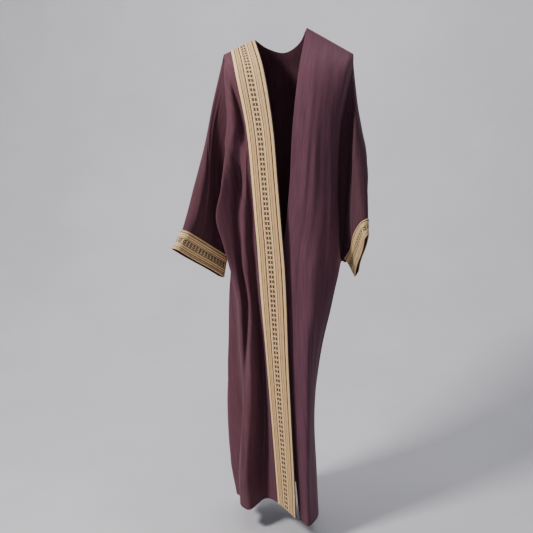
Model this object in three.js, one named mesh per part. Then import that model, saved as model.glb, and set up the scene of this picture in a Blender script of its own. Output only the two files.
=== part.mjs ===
// Open-front abaya, worn, in millimetres.
// X runs to the wearer's left, the front faces -Y and Z is up.
// The origin lies midway between the shoulders, level with the left shoulder's neck point.
import * as THREE from "three";

const CLOTH_WALL = 2; // crepe, drawn thicker than it is
const BRAID_WALL = 2.6; // woven band with raised cords
const LIFT = 0.4; // clear space between the cloth and the band on it
const CUFF_LIFT = 1.2; // and at a cuff, where both bend sharply
const SEAM = 0.25; // each piece stops this far short of a seam
const UNDERARM = 6; // the row where the armhole ends and the side seam begins
const CUFF_TOP = 3.12; // where on a sleeve its band begins
const BLEND = 1.9; // sections over which the armhole's form passes into the sleeve's

// Steps between two rows, from the shoulder to the hem.
const ROW_STEPS = [3, 3, 3, 2, 2, 1, 2, 3, 3, 3, 2];
// Steps between two sections of a sleeve, from the armhole to the cuff's end.
const SLEEVE_STEPS = [3, 3, 3, 2];

// A row is a level section: its height and then x, y on each line; a point with a third number has its own height.
// Right front: free edge, braid's inner edge, valley, ridge, valley, ridge, side crease, behind it, side, seam.
const RIGHT_FRONT = {
  steps: [4, 2, 3, 2, 2, 2, 2, 2, 3],
  rows: [
    [0, [-93, 0, -30], [-165, 4, -59.5], [-169, 4.1, -61], [-172, 4.3, -62.3], [-175, 4.4, -63.5],
      [-178, 4.6, -64.7], [-181, 4.7, -66], [-183, 4.8, -66.8], [-184.5, 4.9, -67.4], [-186, 5, -68]],
    [-125, [-47, -90], [-131, -84], [-140, -80], [-147, -77], [-154, -73],
      [-161, -68], [-168, -60], [-168, -48], [-170, -37], [-174, -24]],
    [-275, [-14, -128], [-94, -104], [-102, -86], [-112, -76], [-122, -98],
      [-133, -106], [-154, -88], [-149, -64], [-147, -46], [-151, -30]],
    [-425, [1, -135], [-78, -108], [-86, -94], [-96, -103], [-125, -59],
      [-147, -84], [-166, -98], [-159, -68], [-152, -46], [-152, -30]],
    [-525, [10, -137], [-69, -111], [-80, -86], [-106, -102], [-131, -58],
      [-158, -86], [-184, -101], [-175, -72], [-163, -46], [-155, -24]],
    [-600, [17, -139], [-62, -112], [-80, -84], [-104, -104], [-125, -58],
      [-146, -82], [-164, -96], [-164, -66], [-160, -38], [-157, -12]],
    [-655, [22, -140], [-58, -113], [-76, -80], [-101, -106], [-121, -62],
      [-136, -86], [-149, -94], [-154, -60], [-160, -28], [-157, 14]],
    [-760, [28, -142], [-50, -113], [-69, -78], [-84, -110], [-102, -70],
      [-116, -94], [-126, -86], [-138, -52], [-168, -20], [-154, 30]],
    [-900, [34, -146], [-39, -105], [-57, -62], [-84, -116], [-104, -78],
      [-114, -86], [-123, -74], [-135, -44], [-173, -14], [-160, 40]],
    [-1080, [44, -150], [-25, -100], [-54, -50], [-84, -117], [-103, -108],
      [-111, -88], [-112, -66], [-122, -46], [-178, -12], [-166, 45]],
    [-1270, [55, -153], [-10, -100], [-60, -46], [-95, -117], [-116, -104],
      [-125, -84], [-124, -66], [-132, -48], [-168, -18], [-160, 42]],
    [-1370, [59, -153, -1373], [-4, -97, -1358], [-52, -56, -1368], [-87, -115, -1380], [-110, -104, -1378],
      [-122, -85, -1375], [-124, -68, -1372], [-130, -52, -1370], [-147, -30, -1370], [-150, 37, -1372]],
  ],
};

// Left front: free edge, middle of its flat, ridge, flank, valley, side, seam.
const LEFT_FRONT = {
  steps: [3, 3, 3, 3, 3, 4],
  rows: [
    [0, [54, 0, 0], [72, 0.7, -10.1], [92, 1.5, -21.3], [122, 2.6, -38.2], [166, 4.3, -62.9],
      [176, 4.7, -68.5], [184, 5, -73]],
    [-125, [47, -90], [66, -93], [86, -92], [125, -82], [170, -60], [177, -43], [182, -25]],
    [-275, [38, -128], [64, -131], [93, -130], [126, -112], [157, -77], [153, -52], [156, -28]],
    [-425, [30, -122], [60, -130], [93, -135], [128, -112], [155, -75], [147, -50], [150, -26]],
    [-525, [20, -116], [57, -129], [94, -137], [130, -114], [158, -77], [149, -50], [151, -22]],
    [-600, [10, -112], [55, -129], [95, -139], [130, -115], [160, -80], [155, -48], [155, -10]],
    [-655, [5, -112], [53, -130], [95, -142], [128, -117], [154, -86], [160, -48], [157, 14]],
    [-760, [5, -113], [51, -131], [94, -146], [120, -118], [135, -92], [141, -56], [118, 28]],
    [-900, [15, -117], [50, -135], [87, -151], [102, -122], [109, -93], [111, -56], [86, 32]],
    [-1080, [32, -122], [58, -140], [88, -156], [97, -125], [97, -95], [95, -58], [74, 38]],
    [-1270, [53, -130], [72, -146], [91, -160], [99, -126], [102, -97], [103, -62], [76, 40]],
    [-1385, [66, -135, -1385], [80, -148, -1388], [95, -162, -1389], [108, -132, -1389], [113, -100, -1387],
      [110, -65, -1385], [78, 40, -1380]],
  ],
};

// Back: right seam, flank, ridge, valley, middle, valley, ridge, flank, left seam.
const BACK = {
  steps: [3, 3, 3, 3, 3, 3, 3, 3],
  corners: [2, 6], // the neck's two ends on the shoulder line
  rows: [
    [0, [-186, 5, -68], [-139.5, 2.5, -49], [-93, 0, -30], [-66, 30, -50], [-20, 52, -62],
      [26, 32, -40], [54, 0, 0], [119, 2.5, -36.5], [184, 5, -73]],
    [-125, [-176, 34], [-142, 62], [-98, 80], [-58, 88], [-8, 91], [40, 88], [80, 79], [132, 58], [178, 34]],
    [-275, [-163, 54], [-138, 84], [-100, 100], [-55, 101], [0, 105], [50, 101], [95, 99], [132, 82], [160, 54]],
    [-425, [-160, 56], [-140, 84], [-104, 101], [-58, 96], [-4, 107], [46, 96], [94, 101], [130, 82], [156, 56]],
    [-525, [-160, 52], [-142, 82], [-106, 102], [-62, 90], [-8, 108], [42, 90], [92, 101], [130, 80], [156, 50]],
    [-600, [-160, 38], [-145, 78], [-108, 102], [-64, 84], [-10, 109], [40, 85], [90, 101], [130, 74], [157, 36]],
    [-655, [-157, 14], [-148, 70], [-111, 101], [-66, 80], [-12, 109], [38, 80], [86, 99], [128, 66], [157, 14]],
    [-760, [-154, 30], [-147, 74], [-112, 104], [-70, 74], [-18, 110], [30, 74], [72, 99], [106, 68], [118, 28]],
    [-900, [-160, 40], [-152, 80], [-118, 109], [-78, 68], [-30, 113], [10, 68], [42, 103], [74, 70], [86, 32]],
    [-1080, [-166, 45], [-160, 84], [-126, 115], [-86, 64], [-44, 119], [-8, 66], [22, 108], [56, 72], [74, 38]],
    [-1270, [-160, 42], [-160, 86], [-130, 121], [-90, 64], [-46, 125], [-10, 66], [24, 114], [58, 74], [76, 40]],
    [-1375, [-150, 37, -1372], [-156, 86, -1374], [-130, 124, -1376], [-90, 66, -1372], [-46, 128, -1378],
      [-10, 68, -1374], [24, 117, -1378], [58, 76, -1378], [78, 40, -1380]],
  ],
};

// A sleeve hangs as a loop between the arm and a lower end. Each section has the arm's x, y, z and radius,
// the lower end's x, y, z and radius, how far the loop's front has turned towards the body, in degrees, and the
// height of the wave that both layers share between the arm and the lower end.
const RIGHT_SLEEVE = [
  [-184, 2, -98, 26, -164, 14, -640, 12, 0, 0],
  [-212, -12, -246, 31, -166, 13, -640, 12, 0, 0],
  [-231, -62, -402, 26, -172, 8, -640, 12, 30, 0],
  [-257, -126, -556, 16, -184, -6, -638, 12, 57, 1],
  [-287, -146, -614, 13, -197, -16, -704, 11, 58, -2],
];
const LEFT_SLEEVE = [
  [174, 6, -102, 27, 164, 14, -640, 12, 0, 0],
  [196, -11, -242, 29, 166, 13, -640, 12, 0, 0],
  [215, -58, -374, 28, 173, 8, -640, 16, 32, 0],
  [231, -116, -518, 14, 180, -6, -630, 13, 34, 4],
  [241, -127, -566, 10, 206, -18, -681, 10, 6, -2],
];

const plus = (a, b, k = 1) => a.map((value, i) => value + b[i] * k);
const minus = (a, b) => plus(a, b, -1);
const times = (a, k) => a.map((value) => value * k);
const mix = (a, b, k) => a.map((value, i) => value + (b[i] - value) * k);
const dot = (a, b) => a[0] * b[0] + a[1] * b[1] + a[2] * b[2];
const span = (a, b) => Math.hypot(...minus(a, b));
const unit = (a) => times(a, 1 / Math.hypot(...a));
const cross = (a, b) => [a[1] * b[2] - a[2] * b[1], a[2] * b[0] - a[0] * b[2], a[0] * b[1] - a[1] * b[0]];

// The slope at a point of a curve, as its neighbours and their distances give it.
function slope(before, at, after, first, second) {
  const through = times(minus(after, before), 1 / (first + second));
  return plus(minus(times(minus(at, before), 1 / first), through), minus(after, at), 1 / second);
}

// A smooth curve through points; whole values of u are the points, and a corner breaks it by its weight.
function onCurve(points, u, corners = [], weight = 0) {
  const last = points.length - 1;
  const i = Math.min(Math.floor(u), last - 1);
  const k = u - i;
  const [a, b] = [points[i], points[i + 1]];
  const before = i > 0 ? points[i - 1] : minus(times(a, 2), b);
  const after = i + 2 <= last ? points[i + 2] : minus(times(b, 2), a);
  const near = (p, q) => Math.sqrt(Math.max(span(p, q), 0.01));
  const step = near(a, b);
  const straight = times(minus(b, a), 1 / step);
  let start = slope(before, a, b, near(before, a), step);
  let end = slope(a, b, after, step, near(b, after));
  if (corners.includes(i)) start = mix(start, straight, weight);
  if (corners.includes(i + 1)) end = mix(end, straight, weight);
  const [k2, k3] = [k * k, k * k * k];
  const held = plus(times(a, 2 * k3 - 3 * k2 + 1), b, 3 * k2 - 2 * k3);
  return plus(plus(held, start, step * (k3 - 2 * k2 + k)), end, step * (k3 - k2));
}

// The lines of a panel, each a list of points down the rows.
function linesOf(panel) {
  const wide = panel.rows[0].length - 1;
  return Array.from({ length: wide }, (_, line) =>
    panel.rows.map((row) => {
      const [x, y, z] = row[line + 1];
      return [x, y, z ?? row[0]];
    }),
  );
}

// A point on a panel: u counts its lines, v its rows. The seam lines break at the underarm.
function panelSurface(panel, seamLines) {
  const lines = linesOf(panel);
  const down = (line, index, v) => {
    if (!seamLines.includes(index)) return onCurve(line, v);
    if (v <= UNDERARM) return onCurve(line.slice(0, UNDERARM + 1), v);
    return onCurve(line.slice(UNDERARM), v - UNDERARM);
  };
  return (u, v) => {
    const across = lines.map((line, index) => down(line, index, v));
    return onCurve(across, u, panel.corners ?? [], Math.max(0, 1 - v / 0.8));
  };
}

// A point on a loop round the arm and the lower end; t runs from 0 at the arm, in front, to 1 at the lower end.
function loopPoint(arm, low, radii, wave, toFront, along, t, front) {
  const length = span(arm, low);
  const [big, small] = radii;
  const angle = Math.acos((big - small) / length);
  const side = Math.sqrt(length ** 2 - (big - small) ** 2);
  const parts = [big * (Math.PI - angle), side, small * angle];
  let way = t * (parts[0] + parts[1] + parts[2]);
  let p;
  if (way < parts[0]) {
    const turn = Math.PI - way / big;
    p = [big * Math.cos(turn), big * Math.sin(turn)];
  } else if (way < parts[0] + parts[1]) {
    const k = (way - parts[0]) / side;
    const start = [big * Math.cos(angle), big * Math.sin(angle)];
    const end = [length + small * Math.cos(angle), small * Math.sin(angle)];
    p = mix(start, end, k);
  } else {
    const turn = angle - (way - parts[0] - parts[1]) / small;
    p = [length + small * Math.cos(turn), small * Math.sin(turn)];
  }
  const sway = wave * Math.sin((2 * Math.PI * p[0]) / length);
  return plus(plus(plus(arm, along, p[0]), toFront, p[1] * (front ? 1 : -1)), [1, 0, 0], sway);
}

// A point on a sleeve: s counts its sections, t runs round from the arm by the front (0 to 1) and the back (1 to 2).
function sleeveSurface(sections, frontSeam, backSeam, side) {
  const at = (s) => {
    const arms = sections.map((row) => row.slice(0, 3));
    const lows = sections.map((row) => row.slice(4, 7));
    const shapes = sections.map((row) => [row[3], row[7], row[8], row[9]]);
    return [onCurve(arms, s), onCurve(lows, s), onCurve(shapes, s)];
  };
  return (s, t) => {
    const front = t <= 1;
    const round = front ? t : 2 - t;
    const [arm, low, [armRadius, lowRadius, turn, wave]] = at(s);
    const along = unit(minus(low, arm));
    const angle = (turn * Math.PI) / 180;
    const level = [side * Math.sin(angle), -Math.cos(angle), 0];
    const toFront = unit(plus(level, along, -dot(level, along)));
    const loop = loopPoint(arm, low, [armRadius, lowRadius], wave * side, toFront, along, round, front);
    const hole = (front ? frontSeam : backSeam)(round * UNDERARM);
    const share = s < BLEND ? 1 - (1 - s / BLEND) ** 2 : 1;
    return mix(hole, loop, share);
  };
}

// The values of a parameter, from its steps between whole numbers.
function stepsFrom(steps) {
  const values = [0];
  steps.forEach((count, i) => {
    for (let k = 1; k <= count; k += 1) values.push(i + k / count);
  });
  return values;
}

// The outward direction of a surface, from points a little apart on it.
function facing(surface, a, b, limits, side) {
  const e = 0.02;
  const low = (value, limit) => Math.max(value - e, limit[0]);
  const high = (value, limit) => Math.min(value + e, limit[1]);
  const first = minus(surface(high(a, limits[0]), b), surface(low(a, limits[0]), b));
  const second = minus(surface(a, high(b, limits[1])), surface(a, low(b, limits[1])));
  return times(unit(cross(first, second)), side);
}

function gridOf(surface, us, vs, side) {
  const limits = [[us[0], us[us.length - 1]], [vs[0], vs[vs.length - 1]]];
  return vs.map((v) =>
    us.map((u) => ({ at: surface(u, v), out: facing(surface, u, v, limits, side) })),
  );
}

// A wall over a grid of points: from the inner offset to the outer one along each point's direction.
function wallOf(grid, inner, outer, closed) {
  const [rows, wide] = [grid.length, grid[0].length];
  const positions = [];
  for (const offset of [outer, inner])
    for (const row of grid)
      for (const { at, out } of row) positions.push(...plus(at, out, offset));
  const [faces, half] = [[], rows * wide];
  const quad = (a, b, c, d) => faces.push(a, b, c, a, c, d);
  const ring = closed ? wide : wide - 1;
  for (let i = 0; i + 1 < rows; i += 1)
    for (let j = 0; j < ring; j += 1) {
      const [a, b] = [i * wide + j, i * wide + ((j + 1) % wide)];
      quad(a, b, b + wide, a + wide);
      quad(half + a, half + a + wide, half + b + wide, half + b);
    }
  for (let j = 0; j < ring; j += 1) {
    const [a, b] = [j, (j + 1) % wide];
    const bottom = (rows - 1) * wide;
    quad(a, half + a, half + b, b);
    quad(bottom + a, bottom + b, half + bottom + b, half + bottom + a);
  }
  if (!closed)
    for (let i = 0; i + 1 < rows; i += 1) {
      const [a, b] = [i * wide, i * wide + wide - 1];
      quad(a, a + wide, half + a + wide, half + a);
      quad(b, half + b, half + b + wide, b + wide);
    }
  if (signedVolume(positions, faces) < 0)
    for (let i = 0; i < faces.length; i += 3) [faces[i + 1], faces[i + 2]] = [faces[i + 2], faces[i + 1]];
  const geometry = new THREE.BufferGeometry();
  geometry.setAttribute("position", new THREE.Float32BufferAttribute(positions, 3));
  geometry.setIndex(faces);
  geometry.computeVertexNormals();
  return geometry;
}

function signedVolume(positions, faces) {
  let volume = 0;
  const point = (i) => positions.slice(i * 3, i * 3 + 3);
  for (let i = 0; i < faces.length; i += 3)
    volume += dot(point(faces[i]), cross(point(faces[i + 1]), point(faces[i + 2]))) / 6;
  return volume;
}

// Grid points that share a seam get one direction.
function share(...points) {
  const out = unit(points.reduce((sum, p) => plus(sum, p.out), [0, 0, 0]));
  for (const p of points) p.out = out;
}

// The direction square to a straight shoulder seam, upward.
function shoulderUp(neck, tip) {
  const line = unit(minus(tip, neck));
  return unit(plus([0, 0, 1], line, -line[2]));
}

const rowValues = stepsFrom(ROW_STEPS);
const underarmAt = rowValues.indexOf(UNDERARM);
const rightFront = panelSurface(RIGHT_FRONT, [9]);
const leftFront = panelSurface(LEFT_FRONT, [6]);
const back = panelSurface(BACK, [0, 8]);
const rightSleeve = sleeveSurface(RIGHT_SLEEVE, (v) => rightFront(9, v), (v) => back(0, v), 1);
const leftSleeve = sleeveSurface(LEFT_SLEEVE, (v) => leftFront(6, v), (v) => back(8, v), -1);

const rightGrid = gridOf(rightFront, stepsFrom(RIGHT_FRONT.steps), rowValues, 1);
const leftGrid = gridOf(leftFront, stepsFrom(LEFT_FRONT.steps), rowValues, -1);
const backGrid = gridOf(back, stepsFrom(BACK.steps), rowValues, 1);

const sections = [...stepsFrom(SLEEVE_STEPS), CUFF_TOP].sort((a, b) => a - b);

// A sleeve's grid: its points round the armhole are the panels' own.
function sleeveGrid(surface, side) {
  const down = rowValues.slice(0, underarmAt + 1).map((v) => v / UNDERARM);
  const round = [...down, ...down.slice(1, -1).reverse().map((t) => 2 - t)];
  const wrapped = (s, t) => surface(s, (t + 2) % 2);
  return sections.map((s) =>
    round.map((t) => ({
      at: surface(s, t),
      out: facing(wrapped, s, t, [[0, 4], [-1, 3]], side),
    })),
  );
}
const rightSleeveGrid = sleeveGrid(rightSleeve, 1);
const leftSleeveGrid = sleeveGrid(leftSleeve, -1);

// Seams: the directions are shared first, and then each piece stops short.
function joinSide(front, backColumn, sleeve) {
  const end = front[0].length - 1;
  const round = sleeve[0].length;
  for (let i = 0; i < rowValues.length; i += 1) {
    const a = front[i][end];
    const b = backGrid[i][backColumn];
    if (i > underarmAt) share(a, b);
    else if (i === 0 || i === underarmAt) share(a, b, sleeve[0][i]);
    else {
      share(a, sleeve[0][i]);
      share(b, sleeve[0][round - i]);
    }
  }
}
joinSide(rightGrid, 0, rightSleeveGrid);
joinSide(leftGrid, backGrid[0].length - 1, leftSleeveGrid);

const upRight = shoulderUp([-93, 0, -30], [-186, 5, -68]);
const upLeft = shoulderUp([54, 0, 0], [184, 5, -73]);
const backSteps = stepsFrom(BACK.steps);
rightGrid[0].slice(0, -1).forEach((p) => (p.out = upRight));
leftGrid[0].slice(0, -1).forEach((p) => (p.out = upLeft));
backSteps.forEach((u, j) => {
  if (u > 0 && u <= 2) backGrid[0][j].out = upRight;
  if (u >= 6 && u < 8) backGrid[0][j].out = upLeft;
});

function pulled(point, towards) {
  return plus(point.at, unit(minus(towards.at, point.at)), SEAM);
}
// A step from an edge point into its piece, square to the edge.
function inward(edge, next, index, closed) {
  const last = edge.length - 1;
  const before = edge[index > 0 ? index - 1 : closed ? last : 0];
  const after = edge[index < last ? index + 1 : closed ? 0 : last];
  const line = unit(minus(after.at, before.at));
  const step = minus(next[index].at, edge[index].at);
  return unit(plus(step, line, -dot(step, line)));
}

function pullEdge(edge, next, closed, far = () => 0) {
  const steps = edge.map((_, i) => inward(edge, next, i, closed));
  edge.forEach((p, i) => {
    p.at = plus(p.at, steps[i], SEAM + far(i));
  });
}

function stopShort(grid, edges) {
  const column = (j) => grid.map((row) => row[j]);
  const wide = grid[0].length;
  if (edges.top) pullEdge(grid[0], grid[1], false);
  if (edges.first) pullEdge(column(0), column(1), false);
  if (edges.last) pullEdge(column(wide - 1), column(wide - 2), false);
}

// A sleeve keeps further off where three pieces meet, at the shoulder and under the arm.
function stopSleeveShort(grid) {
  const round = grid[0].length;
  const near = (i) => Math.exp(-Math.min(i, round - i) / 1.6) + Math.exp(-Math.abs(i - underarmAt) / 0.8);
  pullEdge(grid[0], grid[1], true, (i) => 2.4 * near(i));
}

stopShort(rightGrid, { top: true, last: true });
stopShort(leftGrid, { top: true, last: true });
stopShort(backGrid, { top: true, first: true, last: true });
stopSleeveShort(rightSleeveGrid);
stopSleeveShort(leftSleeveGrid);

const cuffRow = sections.indexOf(CUFF_TOP);
const braidColumns = RIGHT_FRONT.steps[0] + 1;

function piece(name, geometry, colour) {
  const material = new THREE.MeshStandardMaterial({ color: colour, roughness: 0.8 });
  const mesh = new THREE.Mesh(geometry, material);
  mesh.name = name;
  return mesh;
}

const clothWall = (grid, closed = false) => wallOf(grid, -CLOTH_WALL / 2, CLOTH_WALL / 2, closed);
function bandWall(grid, lift, closed) {
  const under = CLOTH_WALL / 2 + lift;
  return wallOf(grid, under, under + BRAID_WALL, closed);
}

const abaya = new THREE.Group();
abaya.add(
  piece("back", clothWall(backGrid), 0x5a3b43),
  piece("front_right", clothWall(rightGrid), 0x674550),
  piece("front_left", clothWall(leftGrid), 0x674550),
  piece("sleeve_right", clothWall(rightSleeveGrid, true), 0x60404a),
  piece("sleeve_left", clothWall(leftSleeveGrid, true), 0x60404a),
  piece("braid_front", bandWall(rightGrid.map((row) => row.slice(0, braidColumns)), LIFT, false), 0xd2b27c),
  piece("braid_cuff_right", bandWall(rightSleeveGrid.slice(cuffRow), CUFF_LIFT, true), 0xd2b27c),
  piece("braid_cuff_left", bandWall(leftSleeveGrid.slice(cuffRow), CUFF_LIFT, true), 0xd2b27c),
);

export default abaya;
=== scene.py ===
import math
import bmesh
import bpy
import numpy as np
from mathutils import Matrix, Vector
from mathutils.kdtree import KDTree


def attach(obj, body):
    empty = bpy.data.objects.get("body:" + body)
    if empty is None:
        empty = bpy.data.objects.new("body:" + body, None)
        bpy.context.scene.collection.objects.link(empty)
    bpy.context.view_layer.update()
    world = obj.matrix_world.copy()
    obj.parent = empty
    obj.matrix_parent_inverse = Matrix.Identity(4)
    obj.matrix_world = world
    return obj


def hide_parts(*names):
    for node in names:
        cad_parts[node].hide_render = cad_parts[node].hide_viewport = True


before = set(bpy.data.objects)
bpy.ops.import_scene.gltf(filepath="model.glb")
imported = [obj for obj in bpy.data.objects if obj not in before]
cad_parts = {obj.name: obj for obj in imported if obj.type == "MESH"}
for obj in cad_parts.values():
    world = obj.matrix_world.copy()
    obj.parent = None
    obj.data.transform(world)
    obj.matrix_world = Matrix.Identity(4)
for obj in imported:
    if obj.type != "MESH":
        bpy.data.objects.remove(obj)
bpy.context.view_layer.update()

mm = 0.001
clothWall = 0.0009
underarm = 6  # the row where the armhole ends and the side seam begins
neckMiddle, neckReach = 4, 1.9  # the back's line in the middle of its neck, and the neck's half width in lines
cuffStart = 3.12  # where on a sleeve its band begins
blendRange = 1.9  # sections over which the armhole passes into the sleeve

# Right front: free edge, band's inner edge, valley, ridge, valley, ridge, side crease, behind it, side, seam.
rightFront = {
    "node": "front_right", "side": 1, "seam": [9], "corners": [], "pitch": 4.4,
    "flat": (0.52, 1.45), "slot": "cloth_front_right", "tint": (0.098, 0.038, 0.052), "phase": 0.7,
    "rows": [
        [0, [-93, 0, -30], [-165, 4, -59.5], [-169, 4.1, -61], [-172, 4.3, -62.3], [-175, 4.4, -63.5],
         [-178, 4.6, -64.7], [-181, 4.7, -66], [-183, 4.8, -66.8], [-184.5, 4.9, -67.4], [-186, 5, -68]],
        [-125, [-47, -90], [-131, -84], [-140, -80], [-147, -77], [-154, -73],
         [-161, -68], [-168, -60], [-168, -48], [-170, -37], [-174, -24]],
        [-275, [-14, -128], [-94, -104], [-102, -86], [-112, -76], [-122, -98],
         [-133, -106], [-154, -88], [-149, -64], [-147, -46], [-151, -30]],
        [-425, [1, -135], [-78, -108], [-86, -94], [-96, -103], [-125, -59],
         [-147, -84], [-166, -98], [-159, -68], [-152, -46], [-152, -30]],
        [-525, [10, -137], [-69, -111], [-80, -86], [-106, -102], [-131, -58],
         [-158, -86], [-184, -101], [-175, -72], [-163, -46], [-155, -24]],
        [-600, [17, -139], [-62, -112], [-80, -84], [-104, -104], [-125, -58],
         [-146, -82], [-164, -96], [-164, -66], [-160, -38], [-157, -12]],
        [-655, [22, -140], [-58, -113], [-76, -80], [-101, -106], [-121, -62],
         [-136, -86], [-149, -94], [-154, -60], [-160, -28], [-157, 14]],
        [-760, [28, -142], [-50, -113], [-69, -78], [-84, -110], [-102, -70],
         [-116, -94], [-126, -86], [-138, -52], [-168, -20], [-154, 30]],
        [-900, [34, -146], [-39, -105], [-57, -62], [-84, -116], [-104, -78],
         [-114, -86], [-123, -74], [-135, -44], [-173, -14], [-160, 40]],
        [-1080, [44, -150], [-25, -100], [-54, -50], [-84, -117], [-103, -108],
         [-111, -88], [-112, -66], [-122, -46], [-178, -12], [-166, 45]],
        [-1270, [55, -153], [-10, -100], [-60, -46], [-95, -117], [-116, -104],
         [-125, -84], [-124, -66], [-132, -48], [-168, -18], [-160, 42]],
        [-1370, [59, -153, -1373], [-4, -97, -1358], [-52, -56, -1368], [-87, -115, -1380], [-110, -104, -1378],
         [-122, -85, -1375], [-124, -68, -1372], [-130, -52, -1370], [-147, -30, -1370], [-150, 37, -1372]],
    ],
    # folds, which are sharp, and creases, which are soft: line and row where each starts and ends, then its half
    # width and its height in mm (a trough is below 0)
    "folds": [
        (4.05, 1.2, 5.9, 3.2, 10, 4.6), (6.0, 2.6, 6.0, 7.0, 9, 3.6), (3.05, 2.2, 3.0, 7.2, 7, 4.0),
        (3.0, 6.6, 3.0, 10.9, 9, 3.8), (5.0, 6.4, 5.0, 8.6, 8, 2.4),
    ],
    "creases": [
        (5.7, 0.4, 6.1, 1.9, 4.5, -2.8), (4.6, 1.0, 5.6, 2.7, 8, -1.5), (4.0, 2.0, 4.0, 6.2, 7, -5.6),
        (3.5, 1.8, 3.5, 5.9, 5, -4.0), (1.9, 2.2, 2.0, 6.2, 5, -3.0), (2.4, 5.2, 2.1, 6.7, 5, 1.6),
        (5.1, 2.8, 5.0, 5.2, 8, 1.2), (2.1, 6.8, 2.1, 10.9, 8, -4.0),
        (7.3, 6.2, 7.0, 10.0, 6, -3.6), (7.8, 6.6, 8.0, 9.8, 8, 2.0), (1.4, 8.4, 1.4, 10.7, 5, 1.4),
        (3.6, 8.2, 3.8, 10.6, 6, -1.4), (8.5, 6.6, 8.4, 10.4, 9, -2.6), (4.6, 8.8, 4.5, 10.8, 6, 1.4),
        (4.3, 6.6, 4.1, 8.4, 6, -1.6),
    ],
}

# Left front: free edge, middle of its flat, ridge, flank, valley, side, seam.
leftFront = {
    "node": "front_left", "side": -1, "seam": [6], "corners": [], "pitch": 4.2,
    "flat": (0.42, 1.46), "slot": "cloth_front_left", "tint": (0.094, 0.037, 0.054), "phase": 2.1,
    "rows": [
        [0, [54, 0, 0], [72, 0.7, -10.1], [92, 1.5, -21.3], [122, 2.6, -38.2], [166, 4.3, -62.9],
         [176, 4.7, -68.5], [184, 5, -73]],
        [-125, [47, -90], [66, -93], [86, -92], [125, -82], [170, -60], [177, -43], [182, -25]],
        [-275, [38, -128], [64, -131], [93, -130], [126, -112], [157, -77], [153, -52], [156, -28]],
        [-425, [30, -122], [60, -130], [93, -135], [128, -112], [155, -75], [147, -50], [150, -26]],
        [-525, [20, -116], [57, -129], [94, -137], [130, -114], [158, -77], [149, -50], [151, -22]],
        [-600, [10, -112], [55, -129], [95, -139], [130, -115], [160, -80], [155, -48], [155, -10]],
        [-655, [5, -112], [53, -130], [95, -142], [128, -117], [154, -86], [160, -48], [157, 14]],
        [-760, [5, -113], [51, -131], [94, -146], [120, -118], [135, -92], [141, -56], [118, 28]],
        [-900, [15, -117], [50, -135], [87, -151], [102, -122], [109, -93], [111, -56], [86, 32]],
        [-1080, [32, -122], [58, -140], [88, -156], [97, -125], [97, -95], [95, -58], [74, 38]],
        [-1270, [53, -130], [72, -146], [91, -160], [99, -126], [102, -97], [103, -62], [76, 40]],
        [-1385, [66, -135, -1385], [80, -148, -1388], [95, -162, -1389], [108, -132, -1389], [113, -100, -1387],
         [110, -65, -1385], [78, 40, -1380]],
    ],
    "folds": [(2.14, 0.5, 2.12, 10.95, 11, 6.4), (5.5, 6.6, 5.5, 10.8, 9, 2.4)],
    "creases": [
        (2.42, 1.0, 2.40, 10.0, 6, -2.4), (2.7, 1.6, 2.75, 8.6, 11, -2.4), (1.5, 1.0, 1.6, 5.4, 10, -1.8),
        (3.2, 1.6, 3.4, 6.2, 9, 2.6), (3.8, 2.4, 3.9, 6.8, 9, -3.4), (3.0, 5.4, 3.2, 8.6, 9, -1.8),
        (1.1, 4.4, 1.2, 9.0, 11, -1.5), (4.6, 6.2, 4.4, 8.6, 8, 2.4), (5.3, 6.4, 5.2, 10.0, 10, -3.0),
        (5.6, 7.0, 5.7, 10.6, 8, 2.6), (3.6, 8.2, 3.9, 10.6, 8, 1.8), (0.5, 6.8, 0.6, 10.4, 8, 1.2),
        (0.6, 0.5, 1.3, 2.2, 9, -1.4), (2.6, 0.3, 2.9, 1.4, 9, 1.4),
    ],
}

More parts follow.
